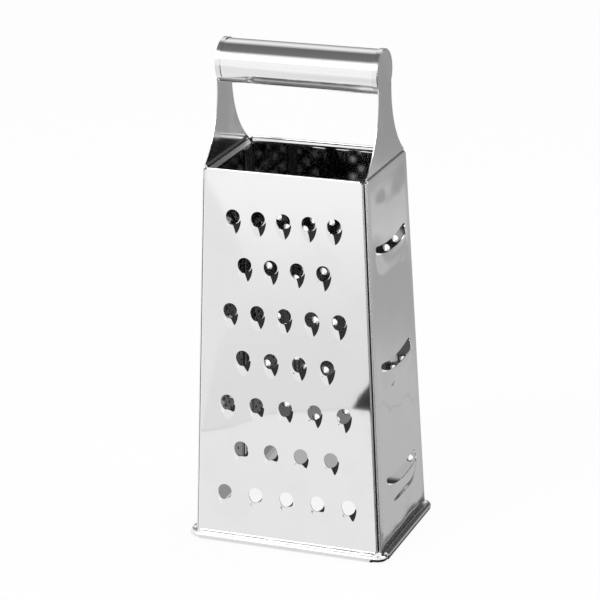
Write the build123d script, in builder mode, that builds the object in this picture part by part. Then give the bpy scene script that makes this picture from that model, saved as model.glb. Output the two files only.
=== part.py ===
from build123d import *
from math import asin, atan2, cos, degrees, sin
import os

# A four-sided grater of polished stainless sheet, standing on its wired base.
# Millimetres, +Z up, origin at the middle of the base. The coarse side faces -Y,
# the slicing side +X, and the handle tube runs along X.

# Overall sizes
overall_height = 240.0
body_height = 185.0
base_width = 95.0
base_depth = 67.7
top_width = 80.6
top_depth = 57.3
sheet = 0.4
layer_gap = 0.05
overrun = 1.0

# Lock seams at the four upright edges, and the hems and corners beside them
seam_width = 5.0
seam_setback = 1.1
seam_foot = 4.2
bend_radius = 0.8
corner_drop = 1.3
short_flap = 1.3
band_width = 5.2
field_foot = 14.0
band_depth = 0.2
band_slope = 75.0
hem_height = 3.2
hem_radius = 0.6
hem_inset = 2.9

# Curled bottom edges round the base wire
bead_diameter = 3.8
bead_inset = 3.3
bead_wrap = 310.0
base_flat = 0.05
wire_corner_radius = 3.8

# Coarse teeth of the front panel
coarse_rows = 7
coarse_columns = 5
coarse_top_row = 162.8
coarse_row_pitch = 22.88
coarse_pitch_top = 12.47
coarse_pitch_bottom = 15.72
coarse_hole_diameter = 6.9
coarse_lip_height = 1.8
coarse_lip_wall = 0.35
coarse_lip_length = 10.0

# Fine raised holes of the back panel
fine_rows = 27
fine_columns = 8
fine_top_row = 160.1
fine_row_pitch = 5.17
fine_pitch_top = 8.88
fine_pitch_bottom = 10.85
fine_offset = 1.4
fine_hole_diameter = 2.6
fine_base_diameter = 4.4
fine_height = 1.2
fine_wall = 0.25

# Slicing slots of the right panel
slot_count = 3
slot_top = 150.0
slot_pitch = 57.2
slot_length = 41.0
slot_end = 1.5
slot_upper_sag = 0.8
slot_lower_sag = 4.1
slot_rise = 2.2
slot_fillet = 7.0
slot_margin = 1.4

# Pierced burrs of the left panel
burr_rows = 34
burr_top_row = 164.0
burr_row_pitch = 4.2
burr_columns = 10
burr_pitch = 4.9
burr_base = 2.6
burr_height = 1.2
burr_slope = 25.0
burr_mouth = 1.9
burr_mouth_slope = 16.0

# Ears, caps and handle tube
top_seam = 4.6
ear_inset = 0.45
ear_step_drop = 0.27
ear_root_rise = 0.9
ear_root_width = 51.4
ear_waist_height = 201.3
ear_waist_width = 25.8
ear_neck_height = 219.5
ear_neck_width = 17.6
cap_diameter = 21.7
cap_depth = 2.6
cap_rounding = 0.35
cap_slit = 0.4
cap_slit_angle = 18.0
tube_seam = 0.3

# Leans of the four sides
side_slope = (base_width - top_width) / 2 / body_height
front_slope = (base_depth - top_depth) / 2 / body_height
side_lean = atan2(side_slope, 1)
front_lean = atan2(front_slope, 1)
side_length = body_height / cos(side_lean)
front_length = body_height / cos(front_lean)
front_plane = Plane(
    origin=(0, -base_depth / 2, 0), x_dir=(1, 0, 0), z_dir=(0, -cos(front_lean), sin(front_lean))
)
back_plane = Plane(
    origin=(0, base_depth / 2, 0), x_dir=(-1, 0, 0), z_dir=(0, cos(front_lean), sin(front_lean))
)
right_plane = Plane(
    origin=(base_width / 2, 0, 0), x_dir=(0, 1, 0), z_dir=(cos(side_lean), 0, sin(side_lean))
)
left_plane = Plane(
    origin=(-base_width / 2, 0, 0), x_dir=(0, -1, 0), z_dir=(-cos(side_lean), 0, sin(side_lean))
)

# Layers of a lock seam, counted inwards from the outer face of the side sheet
half_sheet = sheet / 2
fold_radius = sheet + (sheet + 2 * layer_gap) / 2
fold_middle = fold_radius - half_sheet
first_layer = half_sheet
second_layer = first_layer + sheet + layer_gap
third_layer = second_layer + sheet + layer_gap
fourth_layer = third_layer + sheet + layer_gap
bend_middle = bend_radius - half_sheet
front_edge_inset = fourth_layer + bend_middle
side_edge_inset = seam_setback + fold_radius


def half_width(height):
    """Half the distance between the outer faces of the right and left panels."""
    return base_width / 2 - side_slope * height


def half_depth(height):
    """Half the distance between the outer faces of the front and back panels."""
    return base_depth / 2 - front_slope * height


def edge_plane(height):
    """Level plane at a height, with its origin on the front right corner."""
    return Plane(origin=(half_width(height), -half_depth(height), height))


# Direction of the front right corner, and what one millimetre of height is along it
corner_rise = Vector(-side_slope, front_slope, 1)


def side_point(inset, rise):
    """Point of the XZ section, measured inwards from the right panel's face and up from its top edge."""
    along = side_length + rise
    x = base_width / 2 - inset * cos(side_lean) - along * sin(side_lean)
    return (x, -inset * sin(side_lean) + along * cos(side_lean))


# Bead and wire places, in the plane square to a panel: out from its face and up from its foot
bead_radius = bead_diameter / 2
wire_radius = bead_radius - sheet - layer_gap
bead_out = bead_radius - sheet
bead_axis_height = bead_radius - base_flat


def bead_rise(lean):
    """Height of the bead's axis along a leaning panel, which sets the bead's flat on the floor."""
    return (bead_axis_height - bead_out * sin(lean)) / cos(lean)


def bead_reach(lean):
    """Level distance of the bead's axis from the foot of the panel's outer face."""
    return bead_out * cos(lean) - bead_rise(lean) * sin(lean)


wire_half_width = base_width / 2 + bead_reach(side_lean)
wire_half_depth = base_depth / 2 + bead_reach(front_lean)


def panel_outline(half_span, height_top, lean, inset, foot_half):
    """Flat of a panel: its two leaning edges, narrowed at the foot to the length of the bead."""
    low = half_span(seam_foot) - inset
    high = half_span(height_top) - inset
    Polyline(
        (-foot_half, bead_rise(lean)),
        (foot_half, bead_rise(lean)),
        (low, seam_foot / cos(lean)),
        (high, height_top / cos(lean)),
        (-high, height_top / cos(lean)),
        (-low, seam_foot / cos(lean)),
        close=True,
    )


def section_plane(face):
    """Plane square to a panel and to its foot: out from the face, and up along it."""
    return Plane(origin=face.origin, x_dir=face.z_dir, z_dir=face.z_dir.cross(face.y_dir))


def curl_section(face, lean):
    """Bottom edge rolled outwards round the wire."""
    centre = (bead_out, bead_rise(lean))
    with BuildSketch(section_plane(face)) as section:
        with BuildLine():
            outer = CenterArc(centre, bead_radius, 180, bead_wrap)
            inner = CenterArc(centre, bead_radius - sheet, 180, bead_wrap)
            Line(outer @ 0, inner @ 0)
            Line(outer @ 1, inner @ 1)
        make_face()
    return section.sketch


# Ends of the seams: the front's hook runs up to the ear's seam, and a short flange on to the top corner
hook_fold = seam_setback + seam_width - fold_radius
hook_top = body_height - top_seam - 2 * fold_radius


def hook_section(height, folded):
    """Flange of the front, turned in at the corner and, where it is folded, hooked back outwards."""
    with BuildSketch(edge_plane(height)) as section:
        with BuildLine():
            Line((-front_edge_inset - overrun, half_sheet), (-front_edge_inset, half_sheet))
            turn = CenterArc((-front_edge_inset, bend_radius), bend_middle, -90, 90)
            if folded:
                Line(turn @ 1, (-fourth_layer, hook_fold))
                fold = CenterArc((-third_layer, hook_fold), fold_middle, 180, -180)
                Line(fold @ 1, (-second_layer, side_edge_inset + layer_gap))
            else:
                Line(turn @ 1, (-fourth_layer, bend_radius + short_flap))
        trace(line_width=sheet)
    return section.sketch


def fold_section(height, reach):
    """Edge of the side, folded inwards and back on itself as far as a reach from the corner."""
    with BuildSketch(edge_plane(height)) as section:
        with BuildLine():
            Line((-half_sheet, side_edge_inset + overrun), (-half_sheet, side_edge_inset))
            fold = CenterArc((-fold_radius, side_edge_inset), fold_middle, 0, -180)
            Line(fold @ 1, (-third_layer, reach))
        trace(line_width=sheet)
    return section.sketch


def seam_run(low, high):
    """Length of a seam between two heights, measured along the leaning corner."""
    return (high - low) * corner_rise.length


# Blank of the front panel: flat, hem, bead and the two hooked flanges
front_bead_half = half_width(0) - bead_inset
with BuildPart() as hooked_blank:
    with BuildSketch(front_plane):
        with BuildLine():
            panel_outline(
                half_width, body_height - hem_radius, front_lean, front_edge_inset, front_bead_half
            )
        make_face()
    extrude(amount=-sheet)
    with BuildSketch(section_plane(front_plane)):
        with BuildLine():
            Line((-half_sheet, front_length - hem_height), (-half_sheet, front_length - hem_radius))
            over = CenterArc((-hem_radius, front_length - hem_radius), hem_radius - half_sheet, 0, 180)
            Line(over @ 1, (half_sheet - 2 * hem_radius, front_length - hem_height))
        trace(line_width=sheet)
    extrude(amount=half_width(body_height) - hem_inset, both=True)
    extrude(curl_section(front_plane, front_lean), amount=front_bead_half, both=True)
    extrude(hook_section(seam_foot, True), amount=seam_run(seam_foot, hook_top), dir=corner_rise)
    extrude(
        hook_section(hook_top, False), amount=seam_run(hook_top, body_height - corner_drop), dir=corner_rise
    )
    mirror(about=Plane.YZ)
    # Pressed level under the bead
    with BuildSketch(Plane.XY):
        Rectangle(2 * base_width, 2 * base_depth)
    extrude(amount=-bead_radius, mode=Mode.SUBTRACT)

# Blank of the right panel: flat, top fold, bead and the two folded edges
side_bead_half = half_depth(0) - bead_inset
with BuildPart() as folded_blank:
    with BuildSketch(right_plane):
        with BuildLine():
            panel_outline(
                half_depth, body_height - corner_drop, side_lean, side_edge_inset, side_bead_half
            )
        make_face()
    extrude(amount=-sheet)
    # The seam bands stand a little proud of the field between them
    for face, band_mode in ((right_plane, Mode.SUBTRACT), (right_plane.offset(-sheet), Mode.ADD)):
        with BuildSketch(face):
            with BuildLine():
                field_top = body_height - band_width
                Polyline(
                    (half_depth(field_foot) - seam_setback - band_width, field_foot / cos(side_lean)),
                    (half_depth(field_top) - seam_setback - band_width, field_top / cos(side_lean)),
                    (seam_setback + band_width - half_depth(field_top), field_top / cos(side_lean)),
                    (seam_setback + band_width - half_depth(field_foot), field_foot / cos(side_lean)),
                    close=True,
                )
            make_face()
        extrude(amount=-band_depth, taper=band_slope, mode=band_mode)
    extrude(curl_section(right_plane, side_lean), amount=side_bead_half, both=True)
    with BuildSketch(Plane.XZ):
        with BuildLine():
            low = Line(side_point(first_layer, -top_seam), side_point(first_layer, -fold_radius))
            over = ThreePointArc(
                low @ 1,
                side_point(fold_radius, fold_middle - fold_radius),
                side_point(third_layer, -fold_radius),
            )
            Line(over @ 1, side_point(third_layer, fold_radius + layer_gap - top_seam))
        trace(line_width=sheet)
    extrude(amount=ear_root_width / 2, both=True)
    extrude(
        fold_section(seam_foot, hook_fold - layer_gap),
        amount=seam_run(seam_foot, hook_top),
        dir=corner_rise,
    )
    extrude(
        fold_section(hook_top, side_edge_inset + layer_gap),
        amount=seam_run(hook_top, body_height - corner_drop),
        dir=corner_rise,
    )
    mirror(about=Plane.XZ)
    with BuildSketch(Plane.XY):
        Rectangle(2 * base_width, 2 * base_depth)
    extrude(amount=-bead_radius, mode=Mode.SUBTRACT)


def row_pitch(row, rows, first, last):
    """Spacing within a row, which widens evenly from the top row to the bottom one."""
    return first + (last - first) * row / (rows - 1)


# One coarse tooth: the sheet below a round hole is pushed out into a half cone with a raised lip
hole_radius = coarse_hole_diameter / 2
mouth_tilt = asin(coarse_lip_height / hole_radius)
mouth = Plane(origin=(0, 0, 0), x_dir=(1, 0, 0), z_dir=(0, sin(mouth_tilt), cos(mouth_tilt)))
with BuildSketch(mouth) as lip_outside:
    Circle(hole_radius + coarse_lip_wall)
with BuildSketch(mouth) as lip_inside:
    Circle(hole_radius)
with BuildPart() as coarse_tooth:
    loft(sections=[lip_outside.sketch, Vertex(0, -coarse_lip_length, 0)])
    split(bisect_by=Plane.XY.offset(-half_sheet), keep=Keep.TOP)
with BuildPart() as coarse_hollow:
    loft(sections=[lip_inside.sketch, Vertex(0, sheet + overrun - coarse_lip_length, -sheet)])
    with BuildSketch(Plane.XY.offset(layer_gap)):
        Circle(hole_radius)
        Rectangle(coarse_hole_diameter, hole_radius, align=(Align.CENTER, Align.MAX), mode=Mode.SUBTRACT)
    extrude(amount=-sheet - overrun)

coarse_places = []
for row in range(coarse_rows):
    pitch = row_pitch(row, coarse_rows, coarse_pitch_top, coarse_pitch_bottom)
    columns = coarse_columns - row % 2
    height = (coarse_top_row - row * coarse_row_pitch) / cos(front_lean)
    for column in range(columns):
        coarse_places.append(((column - (columns - 1) / 2) * pitch, height))

with BuildPart() as front_panel:
    add(hooked_blank.part)
    with Locations(front_plane):
        with Locations(*coarse_places):
            add(coarse_tooth.part)
            add(coarse_hollow.part, mode=Mode.SUBTRACT)
front_panel.part.label = "front_panel"

# One fine hole: a short collar pushed out round a small punched hole
with BuildPart() as fine_collar:
    with BuildSketch(Plane.XZ):
        Polygon(
            (0, -half_sheet),
            (fine_base_diameter / 2, -half_sheet),
            (fine_base_diameter / 2, 0),
            (fine_hole_diameter / 2 + fine_wall, fine_height),
            (0, fine_height),
            align=None,
        )
    revolve(axis=Axis.Z)
with BuildPart() as fine_hollow:
    with BuildSketch(Plane.XZ):
        Polygon(
            (0, -sheet),
            (fine_base_diameter / 2 - fine_wall, -sheet),
            (fine_hole_diameter / 2, fine_height),
            (0, fine_height),
            align=None,
        )
    revolve(axis=Axis.Z)

fine_places = []
for row in range(fine_rows):
    pitch = row_pitch(row, fine_rows, fine_pitch_top, fine_pitch_bottom)
    columns = fine_columns - row % 2
    height = (fine_top_row - row * fine_row_pitch) / cos(front_lean)
    for column in range(columns):
        fine_places.append(((column - (columns - 1) / 2) * pitch - fine_offset, height))

with BuildPart() as back_panel:
    add(hooked_blank.part.rotate(Axis.Z, 180))
    with Locations(back_plane):
        with Locations(*fine_places):
            add(fine_collar.part)
            add(fine_hollow.part, mode=Mode.SUBTRACT)
back_panel.part.label = "back_panel"

# One slicing slot: below the slot the sheet swells out as half of a shallow dome
slot_half = slot_length / 2
dome_radius = slot_half + slot_margin
dome_crown = (dome_radius**2 + slot_rise**2) / (2 * slot_rise) - slot_fillet
dome_share = dome_crown / (dome_crown + slot_fillet)
dome_turn = (
    dome_radius * dome_share,
    slot_rise - dome_crown + (slot_fillet - slot_rise + dome_crown) * dome_share,
)
slot_line = [(-slot_half, 0), (0, -(slot_upper_sag + slot_lower_sag) / 2), (slot_half, 0)]
slot_upper = [(slot_end - slot_half, slot_end), (0, -slot_upper_sag), (slot_half - slot_end, slot_end)]
slot_lower = [(slot_end - slot_half, -slot_end), (0, -slot_lower_sag), (slot_half - slot_end, -slot_end)]


def dome(foot):
    """Shallow dome with a filleted foot, standing on a round slab."""
    with BuildPart() as shape:
        with BuildSketch(Plane.XZ):
            with BuildLine():
                crown = RadiusArc((0, slot_rise), dome_turn, dome_crown)
                ease = RadiusArc(crown @ 1, (dome_radius, 0), -slot_fillet)
                Polyline(ease @ 1, (dome_radius, -foot), (0, -foot), crown @ 0)
            make_face()
        revolve(axis=Axis.Z)
        with BuildSketch(Plane.XY.offset(-foot)):
            with BuildLine():
                edge = ThreePointArc(*slot_line)
                Polyline(
                    edge @ 1,
                    (dome_radius + overrun, 0),
                    (dome_radius + overrun, -dome_radius - overrun),
                    (-dome_radius - overrun, -dome_radius - overrun),
                    (-dome_radius - overrun, 0),
                    edge @ 0,
                )
            make_face()
        extrude(amount=foot + slot_rise + overrun, mode=Mode.INTERSECT)
    return shape.part


# The slot itself is a smile with blunt, rounded ends
with BuildPart() as slot_opening:
    with BuildSketch(Plane.XY.offset(-sheet - overrun)):
        with BuildLine():
            upper = ThreePointArc(*slot_upper)
            lower = ThreePointArc(*slot_lower)
            ThreePointArc(upper @ 0, (-slot_half, 0), lower @ 0)
            ThreePointArc(upper @ 1, (slot_half, 0), lower @ 1)
        make_face()
    extrude(amount=sheet + slot_rise + 2 * overrun)

slot_places = [(0, (slot_top - index * slot_pitch) / cos(side_lean)) for index in range(slot_count)]
with BuildPart() as right_panel:
    add(folded_blank.part)
    with Locations(right_plane.offset(-band_depth)):
        with Locations(*slot_places):
            add(dome(half_sheet))
            add(dome(sheet).moved(Location((0, 0, -sheet))), mode=Mode.SUBTRACT)
            add(slot_opening.part, mode=Mode.SUBTRACT)
right_panel.part.label = "right_panel"

# One rasp burr: a small pyramid, burst by a square punch turned across it, so that four points stand
with BuildPart() as burr:
    with BuildSketch(Plane.XY.offset(-half_sheet)):
        Rectangle(burr_base, burr_base, rotation=45)
    extrude(amount=burr_height + half_sheet, taper=burr_slope)
with BuildPart() as burr_hollow:
    with BuildSketch(Plane.XY.offset(-sheet)):
        Rectangle(burr_mouth, burr_mouth)
    extrude(amount=sheet + burr_height, taper=burr_mouth_slope)

burr_places = []
for row in range(burr_rows):
    columns = burr_columns - row % 2
    height = (burr_top_row - row * burr_row_pitch) / cos(side_lean)
    for column in range(columns):
        burr_places.append(((column - (columns - 1) / 2) * burr_pitch, height))

with BuildPart() as left_panel:
    add(mirror(folded_blank.part, about=Plane.YZ, mode=Mode.PRIVATE))
    with Locations(left_plane.offset(-band_depth)):
        with Locations(*burr_places):
            add(burr.part)
            add(burr_hollow.part, mode=Mode.SUBTRACT)
left_panel.part.label = "left_panel"

# Right ear: hooked into the top of the right panel, stepped out to the panel's plane, then a waisted
# neck that ends in a round cap with a turned rim
ear_face = half_width(body_height) - ear_inset
ear_plane = Plane(origin=(ear_face, 0, 0), x_dir=(0, 1, 0), z_dir=(1, 0, 0))
cap_radius = cap_diameter / 2
handle_height = overall_height - cap_radius
neck_angle = asin(ear_neck_width / 2 / cap_radius)
neck_top = handle_height - cap_radius * cos(neck_angle)
cap_face = Plane(origin=(ear_face, 0, handle_height), x_dir=(0, 1, 0), z_dir=(1, 0, 0))
cap_axis = Axis((ear_face, 0, handle_height), (1, 0, 0))
cap_start = Vector(0, sin(neck_angle), -cos(neck_angle))
cap_section = Plane(
    origin=(ear_face, 0, handle_height), x_dir=cap_start, z_dir=cap_start.cross(Vector(-1, 0, 0))
)
with BuildPart() as right_ear:
    with BuildSketch(Plane.XZ):
        with BuildLine():
            leg = Line(
                side_point(second_layer, -fold_radius - layer_gap),
                side_point(second_layer, fold_radius - top_seam),
            )
            under = ThreePointArc(
                leg @ 1,
                side_point(third_layer, fold_radius - fold_middle - top_seam),
                side_point(fourth_layer, fold_radius - top_seam),
            )
            step = side_point(fourth_layer, -ear_step_drop)
            Polyline(
                under @ 1,
                step,
                (ear_face - half_sheet, step[1] + ear_face - half_sheet - step[0]),
                (ear_face - half_sheet, body_height + ear_root_rise),
            )
        trace(line_width=sheet)
    extrude(amount=ear_root_width / 2, both=True)
    with BuildSketch(ear_plane):
        with BuildLine():
            root = body_height + ear_root_rise
            flare = ThreePointArc(
                (ear_root_width / 2, root),
                (ear_waist_width / 2, ear_waist_height),
                (ear_neck_width / 2, ear_neck_height),
            )
            back = ThreePointArc(
                (-ear_root_width / 2, root),
                (-ear_waist_width / 2, ear_waist_height),
                (-ear_neck_width / 2, ear_neck_height),
            )
            Line(flare @ 0, back @ 0)
            Polyline(
                flare @ 1,
                (ear_neck_width / 2, neck_top),
                (0, handle_height),
                (-ear_neck_width / 2, neck_top),
                back @ 1,
            )
        make_face()
    extrude(amount=-sheet)
    with BuildSketch(cap_face):
        Circle(cap_radius - cap_rounding)
    extrude(amount=-sheet)
    # Turned rim with a rounded edge, open where the neck runs out of the disc
    with BuildSketch(cap_section):
        with BuildLine():
            Polyline(
                (cap_radius - cap_rounding, 0),
                (cap_radius - cap_rounding - overrun, 0),
                (cap_radius - cap_rounding - overrun, sheet),
                (cap_radius - sheet, sheet),
                (cap_radius - sheet, cap_depth),
                (cap_radius, cap_depth),
                (cap_radius, cap_rounding),
            )
            RadiusArc((cap_radius, cap_rounding), (cap_radius - cap_rounding, 0), -cap_rounding)
        make_face()
    revolve(axis=cap_axis, revolution_arc=360 - 2 * degrees(neck_angle))
    # Relief slits that carry the rim's ends on into the disc
    for turn in (-1, 1):
        slit_middle = turn * (degrees(neck_angle) - cap_slit_angle / 2) - 90
        with BuildSketch(cap_face):
            with BuildLine():
                CenterArc(
                    (0, 0), cap_radius - sheet, slit_middle - cap_slit_angle / 2, cap_slit_angle
                )
            trace(line_width=cap_slit)
        extrude(amount=-sheet, mode=Mode.SUBTRACT)
right_ear.part.label = "right_ear"

with BuildPart() as left_ear:
    add(mirror(right_ear.part, about=Plane.YZ, mode=Mode.PRIVATE))
left_ear.part.label = "left_ear"

# Handle tube: rolled sheet with its open joint underneath, held inside the two rims
tube_radius = cap_radius - sheet - layer_gap
tube_half = ear_face - sheet - layer_gap
with BuildPart() as handle_tube:
    with BuildSketch(Plane.YZ):
        with Locations((0, handle_height)):
            Circle(tube_radius)
            Circle(tube_radius - sheet, mode=Mode.SUBTRACT)
            Rectangle(tube_seam, tube_radius, align=(Align.CENTER, Align.MAX), mode=Mode.SUBTRACT)
    extrude(amount=tube_half, both=True)
handle_tube.part.label = "handle_tube"

# Base wire: one ring of round wire through the four curled edges, bare at the corners
with BuildPart() as base_wire:
    with BuildLine(Plane.XY.offset(bead_axis_height)):
        ring = FilletPolyline(
            (wire_half_width, wire_half_depth),
            (-wire_half_width, wire_half_depth),
            (-wire_half_width, -wire_half_depth),
            (wire_half_width, -wire_half_depth),
            radius=wire_corner_radius,
            close=True,
        )
    with BuildSketch(Plane(origin=ring @ 0, z_dir=ring % 0)):
        Circle(wire_radius)
    sweep()
base_wire.part.label = "base_wire"

os.makedirs("parts", exist_ok=True)
pieces = (
    front_panel,
    back_panel,
    right_panel,
    left_panel,
    right_ear,
    left_ear,
    handle_tube,
    base_wire,
)
for piece in pieces:
    export_step(piece.part, "parts/" + piece.part.label + ".step")
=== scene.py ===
from math import atan2, cos, hypot, pi, radians, sin

import bmesh
import bpy
from mathutils import Matrix, Vector


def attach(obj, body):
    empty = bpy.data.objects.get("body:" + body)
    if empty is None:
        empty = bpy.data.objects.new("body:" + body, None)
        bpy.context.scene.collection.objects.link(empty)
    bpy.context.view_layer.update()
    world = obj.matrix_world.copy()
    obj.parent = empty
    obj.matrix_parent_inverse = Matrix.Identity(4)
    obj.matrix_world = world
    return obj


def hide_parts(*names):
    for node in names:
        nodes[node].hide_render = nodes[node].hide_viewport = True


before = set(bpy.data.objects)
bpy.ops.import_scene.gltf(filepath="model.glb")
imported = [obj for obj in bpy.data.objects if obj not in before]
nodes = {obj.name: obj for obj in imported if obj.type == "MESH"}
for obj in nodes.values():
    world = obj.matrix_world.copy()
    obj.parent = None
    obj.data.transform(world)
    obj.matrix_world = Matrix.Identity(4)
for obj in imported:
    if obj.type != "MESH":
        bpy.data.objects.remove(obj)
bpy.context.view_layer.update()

# The coarse side is the front wall: thin stainless sheet with a mirror outside and
# an inside painted dark grey as shade, cut, pierced and folded in one pressing before
# the four walls are hooked together. Each round hole's lower lip is drawn out into a half cone.
sheet_thickness = 0.0004
body_height = 0.185
base_half_width = 0.0475
top_half_width = 0.0403
base_half_depth = 0.03385
top_half_depth = 0.02865
bead_top = 0.0045
mirror_grey = (0.90, 0.90, 0.90, 1)
wiped_grey = (0.87, 0.87, 0.875, 1)
# The two inside greys are painted shade for the dim inside of the box; the second, a touch darker, is the
# colour of its random stained patches.
inside_shade_grey = (0.46, 0.46, 0.46, 1)
inside_stain_and_shade_grey = (0.42, 0.42, 0.415, 1)
rolling_stretch = (620, 620, 26)
weld_reach = 1e-7
cut_slack = 1e-8


def wall_frame(foot, head, across):
    """Matrix of a wall's own axes: X across it, Y up it, Z out of its face."""
    foot = Vector(foot)
    up = (Vector(head) - foot).normalized()
    across = Vector(across)
    return Matrix.Translation(foot) @ Matrix((across, up, across.cross(up))).transposed().to_4x4()


def put(tree, kind, **values):
    """Adds a shader node to a tree and sets its sockets by their names."""
    node = tree.nodes.new(kind)
    for name, value in values.items():
        node.inputs[name.replace("_", " ")].default_value = value
    return node


def build_sheet_finish():
    """Shared look of worked stainless: slow sway of the sheet, hair lines and patches of wiping."""
    group = bpy.data.node_groups.new("sheet_finish", "ShaderNodeTree")
    for name, kind in (("Place", "NodeSocketVector"), ("Stretch", "NodeSocketVector"),
                       ("Clean Color", "NodeSocketColor"), ("Worn Color", "NodeSocketColor"),
                       ("Clean Roughness", "NodeSocketFloat"), ("Worn Roughness", "NodeSocketFloat"),
                       ("Worn Band", "NodeSocketFloat"), ("Sway Height", "NodeSocketFloat"),
                       ("Sway Scale", "NodeSocketFloat"), ("Line Height", "NodeSocketFloat")):
        group.interface.new_socket(name, in_out="INPUT", socket_type=kind)
    for name, kind in (("Color", "NodeSocketColor"), ("Roughness", "NodeSocketFloat"),
                       ("Normal", "NodeSocketVector")):
        group.interface.new_socket(name, in_out="OUTPUT", socket_type=kind)
    given = group.nodes.new("NodeGroupInput")
    result = group.nodes.new("NodeGroupOutput")
    sway = put(group, "ShaderNodeTexNoise", Detail=1)
    patches = put(group, "ShaderNodeTexNoise", Scale=48, Detail=5, Roughness=0.62)
    patch_mask = put(group, "ShaderNodeMapRange", From_Min=0.50, From_Max=0.74)
    stretch = put(group, "ShaderNodeMapping")
    lines = put(group, "ShaderNodeTexNoise", Scale=1, Detail=3)
    worn = put(group, "ShaderNodeMath")
    worn.operation = "MAXIMUM"
    tone = put(group, "ShaderNodeMix")
    tone.data_type = "RGBA"
    smear = put(group, "ShaderNodeMapRange")
    sway_bump = put(group, "ShaderNodeBump", Strength=1)
    line_bump = put(group, "ShaderNodeBump", Strength=1)
    link = group.links.new
    link(given.outputs["Place"], sway.inputs["Vector"])
    link(given.outputs["Sway Scale"], sway.inputs["Scale"])
    link(given.outputs["Place"], patches.inputs["Vector"])
    link(patches.outputs["Fac"], patch_mask.inputs["Value"])
    link(given.outputs["Place"], stretch.inputs["Vector"])
    link(given.outputs["Stretch"], stretch.inputs["Scale"])
    link(stretch.outputs["Vector"], lines.inputs["Vector"])
    link(patch_mask.outputs["Result"], worn.inputs[0])
    link(given.outputs["Worn Band"], worn.inputs[1])
    link(worn.outputs["Value"], tone.inputs["Factor"])
    link(given.outputs["Clean Color"], tone.inputs["A"])
    link(given.outputs["Worn Color"], tone.inputs["B"])
    link(worn.outputs["Value"], smear.inputs["Value"])
    link(given.outputs["Clean Roughness"], smear.inputs["To Min"])
    link(given.outputs["Worn Roughness"], smear.inputs["To Max"])
    link(sway.outputs["Fac"], sway_bump.inputs["Height"])
    link(given.outputs["Sway Height"], sway_bump.inputs["Distance"])
    link(lines.outputs["Fac"], line_bump.inputs["Height"])
    link(given.outputs["Line Height"], line_bump.inputs["Distance"])
    link(sway_bump.outputs["Normal"], line_bump.inputs["Normal"])
    link(tone.outputs["Result"], result.inputs["Color"])
    link(smear.outputs["Result"], result.inputs["Roughness"])
    link(line_bump.outputs["Normal"], result.inputs["Normal"])
    return group


sheet_finish = build_sheet_finish()


def steel(name, stretch, clean, worn, roughness, sway, line_height):
    """Steel with its own values of the sheet finish."""
    material = bpy.data.materials.new(name)
    material.use_nodes = True
    tree = material.node_tree
    shader = tree.nodes["Principled BSDF"]
    shader.inputs["Metallic"].default_value = 1
    place = put(tree, "ShaderNodeTexCoord")
    finish = put(tree, "ShaderNodeGroup")
    finish.node_tree = sheet_finish
    finish.name = "finish"
    for socket, value in (("Stretch", stretch), ("Clean Color", clean), ("Worn Color", worn),
                          ("Clean Roughness", roughness[0]), ("Worn Roughness", roughness[1]),
                          ("Sway Height", sway[0]), ("Sway Scale", sway[1]), ("Line Height", line_height)):
        finish.inputs[socket].default_value = value
    tree.links.new(place.outputs["Object"], finish.inputs["Place"])
    tree.links.new(finish.outputs["Color"], shader.inputs["Base Color"])
    tree.links.new(finish.outputs["Roughness"], shader.inputs["Roughness"])
    tree.links.new(finish.outputs["Normal"], shader.inputs["Normal"])
    return material


polished = steel("polished_coarse_side", rolling_stretch, mirror_grey, wiped_grey,
                 roughness=(0.045, 0.08), sway=(0.00007, 22), line_height=1.5e-6)
# Painted shade: the walls' inner faces are dark grey to stand for the shade within the box.
painted_shade_inside = steel("painted_shade_inside", rolling_stretch, inside_shade_grey, inside_stain_and_shade_grey,
                     roughness=(0.05, 0.10), sway=(0.00005, 22), line_height=2e-6)
rubbed_fold = steel("rubbed_fold", rolling_stretch, (0.93, 0.93, 0.93, 1), (0.88, 0.88, 0.88, 1),
                    roughness=(0.42, 0.50), sway=(0.0001, 40), line_height=3e-6)
# Painted shade: the dark grey of the seam faces turned sideways and of the gaps at the top corners, on the
# coarse and fine sides.
painted_shade_flank = steel("painted_shade_flank", rolling_stretch, (0.22, 0.22, 0.22, 1), (0.16, 0.16, 0.16, 1),
                     roughness=(0.35, 0.45), sway=(0.0001, 40), line_height=3e-6)
curled = steel("curled_rim", rolling_stretch, (0.80, 0.80, 0.80, 1), (0.72, 0.72, 0.72, 1),
               roughness=(0.14, 0.24), sway=(0.0004, 30), line_height=3e-6)


def wall_copy(name):
    """The pressed wall with its loose triangles welded."""
    bm = bmesh.new()
    bm.from_mesh(nodes[name].data)
    bmesh.ops.remove_doubles(bm, verts=bm.verts, dist=weld_reach)
    for face in bm.faces:
        face.smooth = True
    return bm


def cut(bm, wall, point, away):
    """Cuts a wall's mesh along a line of its face, without taking anything off."""
    bmesh.ops.bisect_plane(bm, geom=bm.verts[:] + bm.edges[:] + bm.faces[:], dist=cut_slack,
                           plane_co=wall @ Vector((*point, 0)), plane_no=wall.to_3x3() @ Vector((*away, 0)))


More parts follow.
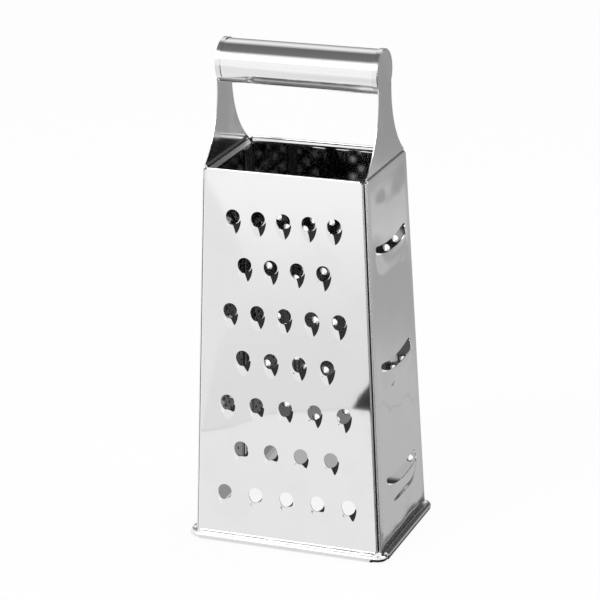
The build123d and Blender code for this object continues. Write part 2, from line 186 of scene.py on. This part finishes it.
def finish_wall(bm, name, wall, label, halves, outside, top_band, flank):
    """Turns the worked mesh into the piece that stands for the wall, each face with its material."""
    out = wall.to_3x3() @ Vector((0, 0, 1))
    sideways = wall.to_3x3() @ Vector((1, 0, 0))
    back_to_wall = wall.inverted()
    mesh = bpy.data.meshes.new(label)
    inside_slot, curled_slot, band_slot, fold_slot, flank_slot = range(1, 6)
    cut(bm, wall, (0, bead_top), (0, 1))
    for edge in bm.edges:
        if edge.calc_face_angle(0) > crease:
            edge.smooth = False
    for face in bm.faces:
        across, rise, proud = back_to_wall @ face.calc_center_median()
        margin = halves[0] + (halves[1] - halves[0]) * rise / body_height - abs(across)
        turned = abs(face.normal.dot(sideways))
        facing = face.normal.dot(out)
        if rise < bead_top and proud > -sheet_thickness:
            face.material_index = curled_slot
        # On the coarse and fine sides the flank material is painted shade: the faces in the gaps at the top
        # corners and the seam faces turned sideways take it.
        elif rise > body_height - corner_shade and margin < fold_margin and facing < corner_facing:
            face.material_index = flank_slot
        # Inner faces take the inside material, which is painted shade; the band along the top keeps its own
        # material.
        elif facing < inside_facing:
            face.material_index = band_slot if rise > body_height - top_band_width else inside_slot
        elif margin < fold_margin and proud < 0 and turned > fold_turn:
            face.material_index = flank_slot if turned > flank_turn else fold_slot
    bm.to_mesh(mesh)
    bm.free()
    if "custom_normal" in mesh.attributes:
        mesh.attributes.remove(mesh.attributes["custom_normal"])
    for material in (outside, painted_shade_inside, curled, top_band, rubbed_fold, flank):
        mesh.materials.append(material)
    piece = bpy.data.objects.new(label, mesh)
    bpy.context.scene.collection.objects.link(piece)
    weigh = piece.modifiers.new("weighted_normals", "WEIGHTED_NORMAL")
    weigh.keep_sharp = True
    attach(piece, "root")
    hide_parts(name)


def open_field(bm, wall, half_low, half_high, low, high):
    """Cuts the flat middle out of a wall and leaves its edges and folds."""
    out = wall.to_3x3() @ Vector((0, 0, 1))
    lean = atan2(half_low - half_high, high - low)
    lines = (((0, low), (0, -1)), ((0, high), (0, 1)),
             ((half_low, low), (cos(lean), sin(lean))), ((-half_low, low), (-cos(lean), sin(lean))))
    for point, away in lines:
        cut(bm, wall, point, away)
    back_to_wall = wall.inverted()
    inside = []
    for face in bm.faces:
        across, rise, proud = back_to_wall @ face.calc_center_median()
        span = half_low + (half_high - half_low) * (rise - low) / (high - low)
        if low < rise < high and abs(across) < span and proud > -field_reach:
            inside.append(face)
    bmesh.ops.delete(bm, geom=inside, context="FACES")
    bmesh.ops.delete(bm, geom=[vert for vert in bm.verts if not vert.link_faces], context="VERTS")
    for vert in bm.verts:
        if vert.is_boundary:
            across, rise, proud = back_to_wall @ vert.co
            facing = sum(face.normal.dot(out) for face in vert.link_faces)
            vert.co = wall @ Vector((across, rise, 0 if facing > 0 else -sheet_thickness))


def fill_field(bm, wall):
    """Fills the flat between the cut edge and the feet of the pressed features, on both faces."""
    back_to_wall = wall.inverted()
    for depth in (0, sheet_thickness):
        rim = []
        for edge in bm.edges:
            off_level = [abs((back_to_wall @ vert.co).z + depth) for vert in edge.verts]
            if edge.is_boundary and max(off_level) < level_slack:
                rim.append(edge)
        for edge in rim:
            edge.smooth = False
        flat = bmesh.ops.triangle_fill(bm, use_beauty=True, use_dissolve=False, edges=rim,
                                       normal=wall.to_3x3() @ Vector((0, 0, 1)))
        for face in flat["geom"]:
            if isinstance(face, bmesh.types.BMFace):
                face.smooth = False
    bmesh.ops.recalc_face_normals(bm, faces=bm.faces)


def pressing(outline, foot, height, segments, rings):
    """Mesh of one pierced and pressed-out feature: its outer face, the cut edge and its inner face."""
    bm = bmesh.new()
    bmesh.ops.create_grid(bm, x_segments=segments, y_segments=2 * rings + 1, size=0.5)
    for vert in bm.verts:
        angle = 2 * pi * vert.co.x
        step = round((vert.co.y + 0.5) * (2 * rings + 1))
        outside = step <= rings
        share = (1 - step / rings if outside else (step - rings - 1) / rings) ** ring_crowding
        across = outline(angle)[0] * (1 - share) + foot(angle)[0] * share
        rise = outline(angle)[1] * (1 - share) + foot(angle)[1] * share
        proud = 0 if share == 1 else height(across, rise, angle)
        vert.co = (across, rise, proud - (0 if outside else sheet_thickness))
    bmesh.ops.remove_doubles(bm, verts=bm.verts, dist=weld_reach)
    for face in bm.faces:
        face.smooth = True
    mesh = bpy.data.meshes.new("pressing")
    bm.to_mesh(mesh)
    bm.free()
    return mesh


def set_in(bm, wall, mesh, across, rise):
    """Joins a copy of a pressed feature to the wall at its place."""
    old = set(bm.verts)
    bm.from_mesh(mesh)
    fresh = [vert for vert in bm.verts if vert not in old]
    bmesh.ops.transform(bm, matrix=wall @ Matrix.Translation((across, rise, 0)), verts=fresh)


crease = radians(33)
fold_margin = 0.003
fold_turn = 0.15
flank_turn = 0.93
inside_facing = -0.2
corner_facing = 0.4
corner_shade = 0.0025
top_band_width = 0.0052
field_reach = 0.003
level_slack = 2e-6
ring_crowding = 1.5
hole_radius = 0.00345
tooth_half_width = 0.0041
tooth_reach = 0.0090
tooth_lift = 0.0018
tooth_foot_roundness = 1.2
tooth_narrowing = 0.6
tooth_crown = 1.25
lip_sweep = 1.15
sharpest_tip = 1e-6
tooth_segments = 56
tooth_rings = 12
tooth_rows = 7
teeth_in_row = 5
top_row = 0.1628
row_step = 0.02288
pitch_top = 0.01247
pitch_bottom = 0.01572
front_field = (0.0430, 0.0372, 0.009, 0.176)
front_wall = wall_frame((0, -base_half_depth, 0), (0, -top_half_depth, body_height), (1, 0, 0))


def hole_outline(angle):
    """Edge of the round hole."""
    return hole_radius * cos(angle), hole_radius * sin(angle)


def tooth_foot(angle):
    """Line where a tooth rises from the flat, round above its hole and drawn out below."""
    if sin(angle) >= 0:
        return tooth_half_width * cos(angle), tooth_half_width * sin(angle)
    side = 1 if cos(angle) > 0 else -1
    return side * tooth_half_width * abs(cos(angle)) ** tooth_foot_roundness, tooth_reach * sin(angle)


def tooth_height(across, rise, angle):
    """Height of a tooth over the flat, highest at the hole's lower edge."""
    down = max(0, -rise)
    half = tooth_half_width * max(sharpest_tip, 1 - (down / tooth_reach) ** 2) ** tooth_narrowing
    crown = max(0, 1 - (across / half) ** 2) ** tooth_crown
    lip = (down / hypot(across, rise)) ** lip_sweep
    fall = 1 - max(0, down - hole_radius) / (tooth_reach - hole_radius)
    return tooth_lift * lip * crown * max(0, fall)


tooth = pressing(hole_outline, tooth_foot, tooth_height, tooth_segments, tooth_rings)
coarse = wall_copy("front_panel")
open_field(coarse, front_wall, *front_field)
for row in range(tooth_rows):
    pitch = pitch_top + (pitch_bottom - pitch_top) * row / (tooth_rows - 1)
    teeth = teeth_in_row - row % 2
    for tooth_index in range(teeth):
        across = (tooth_index - (teeth - 1) / 2) * pitch
        set_in(coarse, front_wall, tooth, across, top_row - row * row_step)
fill_field(coarse, front_wall)
wide_halves = (base_half_width, top_half_width)
finish_wall(coarse, "front_panel", front_wall, "coarse_side", wide_halves, polished, polished,
            painted_shade_flank)

# The slicing side is the right wall: the same sheet with three long smiling slots.
# Below each slot the sheet is pressed out as a low blister, so that its upper edge
# shaves. The folded edges beside the seams are rubbed duller than the middle.
slot_half = 0.0207
slot_shift = 0.0006
slot_half_gap = 0.00175
slot_end_drop = 0.0011
slot_sag = 0.00265
slot_squareness = 14
brow_rise = 0.0020
foot_drop = 0.0006
blister_half = 0.0219
blister_top = 0.0046
blister_drop = 0.0118
blister_lift = 0.0023
blister_foot_roundness = 0.9
blister_end_roundness = 0.5
blister_ease = 0.9
blister_lip_ease = 0.0028
blister_segments = 120
blister_rings = 16
slot_top = 0.1513
slot_step = 0.05721
slot_count = 3
side_field = (0.0277, 0.0230, 0.0135, 0.1804)
side_narrowing = (base_half_depth - top_half_depth) / body_height
band_inner = 0.0068
band_outer = 0.0042
fold_start = 0.1838
fold_blur = 0.0003
right_wall = wall_frame((base_half_width, 0, 0), (top_half_width, 0, body_height), (0, 1, 0))


def ease(share):
    """Soft step from 0 to 1."""
    share = min(1, max(0, share))
    return share * share * (3 - 2 * share)


def slot_outline(angle):
    """Edge of the smiling slot."""
    middle = -slot_end_drop - slot_sag * sin(angle) ** 2
    gap = slot_half_gap * (1 - cos(angle) ** slot_squareness) ** 0.5
    return slot_half * cos(angle), middle + (gap if sin(angle) > 0 else -gap)


def blister_foot(angle):
    """Line where the blister below a slot rises from the flat."""
    side = 1 if cos(angle) > 0 else -1
    if sin(angle) > 0:
        return blister_half * cos(angle), brow_rise * sin(angle) - foot_drop * cos(angle) ** 2
    drop = (blister_top + blister_drop) * abs(sin(angle)) ** blister_foot_roundness
    return side * blister_half * abs(cos(angle)) ** blister_end_roundness, -foot_drop - drop


def blister_height(across, rise, angle):
    """Height of a blister over the flat. Above its slot the sheet stays flat."""
    if sin(angle) > 0:
        return 0
    spread = (across / blister_half) ** 4 + (max(0, -blister_top - rise) / blister_drop) ** 2
    below_ends = -slot_end_drop - rise
    return blister_lift * ease((1 - spread) / blister_ease) * ease(below_ends / blister_lip_ease)


def rub_band(material):
    """Marks the folded band along a side wall's edges as worn, by its distance from them."""
    tree = material.node_tree
    link = tree.links.new
    split = put(tree, "ShaderNodeSeparateXYZ")
    level = put(tree, "ShaderNodeMath")
    level.operation = "MULTIPLY_ADD"
    level.inputs[1].default_value = -side_narrowing
    level.inputs[2].default_value = base_half_depth
    off_middle = put(tree, "ShaderNodeMath")
    off_middle.operation = "ABSOLUTE"
    from_side = put(tree, "ShaderNodeMath")
    from_side.operation = "SUBTRACT"
    from_top = put(tree, "ShaderNodeMath")
    from_top.operation = "SUBTRACT"
    from_top.inputs[0].default_value = body_height
    nearest = put(tree, "ShaderNodeMath")
    nearest.operation = "MINIMUM"
    below_fold = put(tree, "ShaderNodeMapRange", From_Min=fold_start, From_Max=fold_start - fold_blur)
    kept = put(tree, "ShaderNodeMath")
    kept.operation = "MULTIPLY"
    band = put(tree, "ShaderNodeMapRange", From_Min=band_inner, From_Max=band_outer)
    band.interpolation_type = "SMOOTHSTEP"
    link(tree.nodes["Texture Coordinate"].outputs["Object"], split.inputs["Vector"])
    link(split.outputs["Z"], level.inputs[0])
    link(split.outputs["Y"], off_middle.inputs[0])
    link(level.outputs["Value"], from_side.inputs[0])
    link(off_middle.outputs["Value"], from_side.inputs[1])
    link(split.outputs["Z"], from_top.inputs[1])
    link(from_side.outputs["Value"], nearest.inputs[0])
    link(from_top.outputs["Value"], nearest.inputs[1])
    link(nearest.outputs["Value"], band.inputs["Value"])
    link(split.outputs["Z"], below_fold.inputs["Value"])
    link(band.outputs["Result"], kept.inputs[0])
    link(below_fold.outputs["Result"], kept.inputs[1])
    link(kept.outputs["Value"], tree.nodes["finish"].inputs["Worn Band"])


side_polished = steel("polished_slicing_side", rolling_stretch, mirror_grey, (0.88, 0.88, 0.885, 1),
                      roughness=(0.05, 0.26), sway=(0.0006, 42), line_height=1.5e-6)
rub_band(side_polished)
hem_steel = steel("rubbed_hem", rolling_stretch, (0.68, 0.68, 0.68, 1), (0.60, 0.60, 0.60, 1),
                  roughness=(0.40, 0.48), sway=(0.0002, 40), line_height=4e-6)
blister = pressing(slot_outline, blister_foot, blister_height, blister_segments, blister_rings)
slicing = wall_copy("right_panel")
open_field(slicing, right_wall, *side_field)
for slot_index in range(slot_count):
    set_in(slicing, right_wall, blister, slot_shift, slot_top - slot_index * slot_step)
fill_field(slicing, right_wall)
narrow_halves = (base_half_depth, top_half_depth)
finish_wall(slicing, "right_panel", right_wall, "slicing_side", narrow_halves, side_polished, hem_steel,
            rubbed_fold)

# The fine side is the back wall: small holes punched out into short round collars.
# It keeps the sheet as it is pressed, and the hem along its top edge, folded inwards,
# has sprung open a little, so that it shows bright above the dark inside.
hem_slope = 0.34
hem_bend_start = 0.0010
hem_bend_end = 0.0021
hem_depth = 0.0032
hem_depth_slack = 1e-5
hem_leaf = 0.00070
hem_inset = 0.0028


def spring_hem(bm, wall, top, half, slope, bends):
    """Bends the hem along a wall's top edge inwards, from the first to the last of its bends."""
    back_to_wall = wall.inverted()
    for depth in bends:
        cut(bm, wall, (0, top - depth), (0, 1))
    for vert in bm.verts:
        across, rise, proud = back_to_wall @ vert.co
        in_hem = proud < -hem_leaf and top - hem_depth - hem_depth_slack < rise
        if in_hem and abs(across) < half - hem_inset:
            sink = slope * (min(bends[-1], max(bends[0], top - rise)) - bends[0])
            vert.co = wall @ Vector((across, rise, proud - sink))


back_wall = wall_frame((0, base_half_depth, 0), (0, top_half_depth, body_height), (-1, 0, 0))
back_top = (body_height ** 2 + (base_half_depth - top_half_depth) ** 2) ** 0.5
fine = wall_copy("back_panel")
spring_hem(fine, back_wall, back_top, top_half_width, hem_slope,
           (hem_bend_start, (hem_bend_start + hem_bend_end) / 2, hem_bend_end))
finish_wall(fine, "back_panel", back_wall, "fine_side", wide_halves, polished, polished, painted_shade_flank)

# The rasp side is the left wall, pierced with small torn burrs and otherwise like
# the slicing side. The band along its top, inside, has sprung further than the far hem.
side_band_slope = 0.7
side_bend_start = 0.0006
side_bend_end = 0.0030
left_wall = wall_frame((-base_half_width, 0, 0), (-top_half_width, 0, body_height), (0, -1, 0))
left_top = (body_height ** 2 + (base_half_width - top_half_width) ** 2) ** 0.5
rasp = wall_copy("left_panel")
spring_hem(rasp, left_wall, left_top, top_half_depth, side_band_slope, (side_bend_start, side_bend_end))
finish_wall(rasp, "left_panel", left_wall, "rasp_side", narrow_halves, side_polished, hem_steel,
            rubbed_fold)

# The two ears are thicker sheet with a satin finish, each seamed into the top of a
# side wall and drawn at its head into a round cap that closes the handle.
satin = steel("satin_ear", (520, 520, 14), (0.83, 0.83, 0.83, 1), (0.92, 0.92, 0.92, 1),
              roughness=(0.12, 0.20), sway=(0.00035, 34), line_height=4e-6)
for ear in ("right_ear", "left_ear"):
    nodes[ear].data.materials[0] = satin

# The handle is a tube rolled from sheet steel and brushed along its length, with its
# joint underneath. Its ends sit in the caps of the two ears.
brushed = steel("brushed_handle", (9, 900, 900), (0.90, 0.90, 0.90, 1), (0.86, 0.86, 0.86, 1),
                roughness=(0.09, 0.16), sway=(0.0001, 30), line_height=7e-6)
nodes["handle_tube"].data.materials[0] = brushed

# The base ring is bright drawn steel wire. The four walls' lower edges are curled round
# it, and it is bare at the corners.
wire = steel("drawn_wire", (260, 260, 260), (0.85, 0.85, 0.85, 1), (0.76, 0.76, 0.76, 1),
             roughness=(0.12, 0.22), sway=(0.0001, 60), line_height=4e-6)
nodes["base_wire"].data.materials[0] = wire


# The floor is a plain pale sheet, seen nearly white. What the steel mirrors besides
# it are cards that only reflections see, like those that are set round metal.
card_lift = 0.0006
upper_card_lift = 1.5 * card_lift
floor_reach = 4.0


def stage_sheet(name, corners):
    """One flat sheet of the studio."""
    bm = bmesh.new()
    bm.faces.new([bm.verts.new(corner) for corner in corners])
    mesh = bpy.data.meshes.new(name)
    bm.to_mesh(mesh)
    bm.free()
    sheet = bpy.data.objects.new(name, mesh)
    bpy.context.scene.collection.objects.link(sheet)
    material = bpy.data.materials.new(name)
    material.use_nodes = True
    mesh.materials.append(material)
    return sheet, material.node_tree


def seen_share(tree, seen, otherwise):
    """Node that gives the seen value to rays from the camera, off metal and through glass."""
    path = put(tree, "ShaderNodeLightPath")
    first = put(tree, "ShaderNodeMath")
    first.operation = "MAXIMUM"
    second = put(tree, "ShaderNodeMath")
    second.operation = "MAXIMUM"
    level = put(tree, "ShaderNodeMapRange", To_Min=otherwise, To_Max=seen)
    tree.links.new(path.outputs["Is Camera Ray"], first.inputs[0])
    tree.links.new(path.outputs["Is Glossy Ray"], first.inputs[1])
    tree.links.new(first.outputs["Value"], second.inputs[0])
    tree.links.new(path.outputs["Is Transmission Ray"], second.inputs[1])
    tree.links.new(second.outputs["Value"], level.inputs["Value"])
    return level.outputs["Result"]


floor_corners = ((-floor_reach, -floor_reach, 0), (floor_reach, -floor_reach, 0),
                 (floor_reach, floor_reach, 0), (-floor_reach, floor_reach, 0))
floor_tree = stage_sheet("floor", floor_corners)[1]
paper = floor_tree.nodes["Principled BSDF"]
paper.inputs["Base Color"].default_value = (0.95, 0.95, 0.95, 1)
paper.inputs["Roughness"].default_value = 0.7
paper.inputs["Specular IOR Level"].default_value = 0.1
white = put(floor_tree, "ShaderNodeEmission", Color=(1, 1, 1, 1))
mix = put(floor_tree, "ShaderNodeMixShader")
floor_tree.links.new(seen_share(floor_tree, seen=0.90, otherwise=0), mix.inputs["Fac"])
floor_tree.links.new(paper.outputs["BSDF"], mix.inputs[1])
floor_tree.links.new(white.outputs["Emission"], mix.inputs[2])
floor_tree.links.new(mix.outputs["Shader"], floor_tree.nodes["Material Output"].inputs["Surface"])


def card(name, corners, tones, start=0.0, end=1.0, height=card_lift, along=(0, 1, 0)):
    """Card that only reflections see, whose grey runs along one direction through its tones."""
    sheet, tree = stage_sheet(name, [(*corner, height)[:3] for corner in corners])
    sheet.visible_camera = False
    sheet.visible_diffuse = False
    sheet.visible_shadow = False
    sheet.visible_transmission = False
    tree.nodes.remove(tree.nodes["Principled BSDF"])
    place = put(tree, "ShaderNodeTexCoord")
    run = put(tree, "ShaderNodeVectorMath")
    run.operation = "DOT_PRODUCT"
    run.inputs[1].default_value = along
    reach = put(tree, "ShaderNodeMapRange", From_Min=start, From_Max=end)
    ramp = put(tree, "ShaderNodeValToRGB")
    glow = put(tree, "ShaderNodeEmission")
    while len(ramp.color_ramp.elements) < len(tones):
        ramp.color_ramp.elements.new(0.5)
    for stop, (share, grey) in zip(ramp.color_ramp.elements, tones):
        stop.position = share
        stop.color = (grey, grey, grey, 1)
    tree.links.new(place.outputs["Object"], run.inputs[0])
    tree.links.new(run.outputs["Value"], reach.inputs["Value"])
    tree.links.new(reach.outputs["Result"], ramp.inputs["Fac"])
    tree.links.new(ramp.outputs["Color"], glow.inputs["Color"])
    tree.links.new(glow.outputs["Emission"], tree.nodes["Material Output"].inputs["Surface"])


# The grey card behind fills the slicing side and the ears. Of the upright ones behind
# it, the right one darkens the folds and the upper half of the curled rim, and the
# left one keeps the handle's back edge light. A narrow card beside the base is the
# shade above that rim, and a thin one the faint line across the slicing side.
card("grey_card_behind", ((0.0535, -0.03), (0.058, -0.03), (0.058, 0), (0.9, 0), (0.9, 1), (-0.02, 1),
                          (-0.02, 0.045), (0.0535, 0.045)),
     ((0, 0.49), (0.215, 0.51), (0.28, 0.44), (0.33, 0.395), (0.435, 0.385), (0.475, 0.575),
      (0.52, 0.53), (0.57, 0.51), (0.585, 0.36), (0.66, 0.34)))
card("upright_card_behind", ((-0.1, 1, 0), (1.6, 1, 0), (1.6, 1, 1.1), (-0.1, 1, 1.1)),
     ((0, 0.38), (0.2, 0.32), (0.34, 0.09), (1, 0.05)), along=(0, 0, 1))
card("upright_card_left", ((-0.8, 1, 0), (-0.1, 1, 0), (-0.1, 1, 1.1), (-0.8, 1, 1.1)),
     ((0, 0.30), (0.5, 0.32), (0.62, 0.55), (1, 0.86)), along=(0, 0, 1))
card("shade_strip", ((0.0485, -0.045), (0.0540, -0.045), (0.0540, 0.14), (0.0485, 0.14)),
     ((0, 0.0), (0.4, 0.01), (0.65, 0.08), (0.85, 0.22), (1, 0.42)), start=0.0485, end=0.054,
     height=upper_card_lift, along=(1, 0, 0))
card("joint_behind", ((0.135, 0.135), (0.137, 0.136), (0.1190, 0.1620), (0.1120, 0.1722), (0.098, 0.210),
                      (0.096, 0.209), (0.1105, 0.1704), (0.1176, 0.1598)),
     ((0, 0.42), (1, 0.42)), height=upper_card_lift)
# A dark one beside it draws the thin dark line down the far edge of the slicing side.
card("dark_card_left_behind", ((-0.09, 0.25), (-0.021, 0.25), (-0.021, 1), (-0.38, 1)),
     ((0, 0.08), (1, 0.08)))
# The dark card in front on the right darkens the right flanks of the teeth.
card("dark_card_right", ((0.044, -0.03), (0.041, -0.048), (0.035, -0.07), (0.0165, -0.12),
                         (-0.010, -0.19), (-0.030, -0.2385), (-0.0412, -0.2384), (-0.0454, -0.2629),
                         (-0.0462, -0.2825), (-0.040, -0.30), (-0.03, -0.34), (-0.06, -0.45),
                         (-0.12, -0.62), (-0.15, -0.9), (1.2, -0.9), (1.2, -0.001), (0.058, -0.001),
                         (0.058, -0.03)),
     ((0, 0.035), (1, 0.035)))
# The dark card overhead is the long dark band on the handle.
card("dark_card_overhead", ((-0.073, -0.076), (0.25, -0.076), (0.25, 0.06), (-0.073, 0.06)),
     ((0, 1.0), (0.12, 0.85), (0.24, 0.18), (0.66, 0.14), (0.84, 0.8), (1, 0.95)),
     start=-0.076, end=0.06, height=0.3)
# Two pale sheets lie on the floor in front. The coarse side mirrors the line where
# they meet, and a third one makes the darker strip down its left edge.
joint_half_width = 0.0010
joint_line = ((-0.9, -0.174), (-0.1047, -0.1744), (-0.0912, -0.1867), (-0.0811, -0.2138),
              (-0.0615, -0.2269), (-0.0412, -0.2384))
joint_upper = [(x, y - joint_half_width) for x, y in joint_line]
joint_lower = [(x, y + joint_half_width) for x, y in joint_line]
card("pale_sheet_far", ((-0.2730, -0.6134), (-0.3296, -0.711), (-0.60, -1.2), (0.1, -1.2), (-0.03, -0.34),
                        (-0.040, -0.30), (-0.0462, -0.2825), (-0.0454, -0.2629), *joint_upper[:0:-1],
                        (-0.155, -0.32), (-0.189, -0.46)),
     ((0.03, 1.0), (0.26, 0.95), (0.41, 0.89), (0.63, 0.82), (0.8, 0.80), (1, 0.79)),
     start=-0.88, end=-0.22, along=(0.6, 1, 0))
card("pale_sheet_left", ((-0.9, -1.2), (-0.60, -1.2), (-0.3296, -0.711), (-0.2730, -0.6134),
                         (-0.189, -0.46), (-0.155, -0.32), *joint_upper[1::-1]),
     ((0, 0.85), (1, 0.84)))
card("pale_joint", (*joint_upper, *joint_lower[::-1]), ((0, 0.58), (1, 0.58)))
card("pale_sheet_near", (*joint_lower, (-0.030, -0.2375), (-0.010, -0.19), (0.0165, -0.12),
                         (0.035, -0.07), (0.041, -0.048), (0.043, -0.037), (-0.9, -0.037)),
     ((0, 0.87), (1, 0.87)))
# A dark card inside the base is painted shade for the shaded floor within the walls and
# leaves only its front part light, and a grey one beside it, painted lighter, lights the left wall's foot.
card("dark_card_inside", ((-0.036, 0.007), (0.0445, 0.007), (0.0445, 0.0315), (-0.036, 0.0315)),
     ((0, 0.8), (0.15, 0.1), (0.35, 0.05), (0.55, 0.5), (1, 0.6)), start=0.007, end=0.0315)
card("grey_card_inside", ((-0.0445, 0.007), (-0.036, 0.007), (-0.036, 0.0315), (-0.0445, 0.0315)),
     ((0, 0.53), (1, 0.53)))

# The light is soft: an even pale world, which reflections see as white, and two large
# softboxes above.
world = bpy.data.worlds.new("studio")
bpy.context.scene.world = world
world.use_nodes = True
sky = world.node_tree.nodes["Background"]
sky.inputs["Color"].default_value = (1, 1, 1, 1)
world.node_tree.links.new(seen_share(world.node_tree, seen=1, otherwise=0.55), sky.inputs["Strength"])


def softbox(name, size, power, where, target):
    """Square area lamp turned to a point."""
    lamp = bpy.data.lights.new(name, "AREA")
    lamp.shape = "SQUARE"
    lamp.size = size
    lamp.energy = power
    holder = bpy.data.objects.new(name, lamp)
    bpy.context.scene.collection.objects.link(holder)
    aim = (Vector(target) - Vector(where)).to_track_quat("-Z", "Y")
    holder.matrix_world = Matrix.Translation(where) @ aim.to_matrix().to_4x4()


softbox("softbox_front", size=1.2, power=14, where=(-0.8, -1.5, 1.5), target=(0, 0, 0.1))
softbox("softbox_top", size=1.4, power=14, where=(0.3, 0.4, 2.0), target=(0, 0, 0.1))

# The camera stands at the photograph's viewing angle, a little above the handle and
# to the right, and is tipped by about one degree.
azimuth = radians(21.38)
elevation = radians(19.486)
distance = 1.30208
aim_point = Vector((-0.0039, 0, 0.11422))
tip = 0.020
back = Vector((sin(azimuth) * cos(elevation), -cos(azimuth) * cos(elevation), sin(elevation)))
lens = bpy.data.cameras.new("camera")
lens.sensor_width = 36
lens.lens = 164.45
lens.clip_start = 0.05
lens.clip_end = 20
camera = bpy.data.objects.new("camera", lens)
bpy.context.scene.collection.objects.link(camera)
camera.matrix_world = (Matrix.Translation(aim_point + back * distance)
                       @ Matrix.Rotation(azimuth, 4, "Z")
                       @ Matrix.Rotation(radians(90) - elevation, 4, "X")
                       @ Matrix.Rotation(-tip, 4, "Z"))
bpy.context.scene.camera = camera
bpy.context.scene.view_settings.view_transform = "Standard"
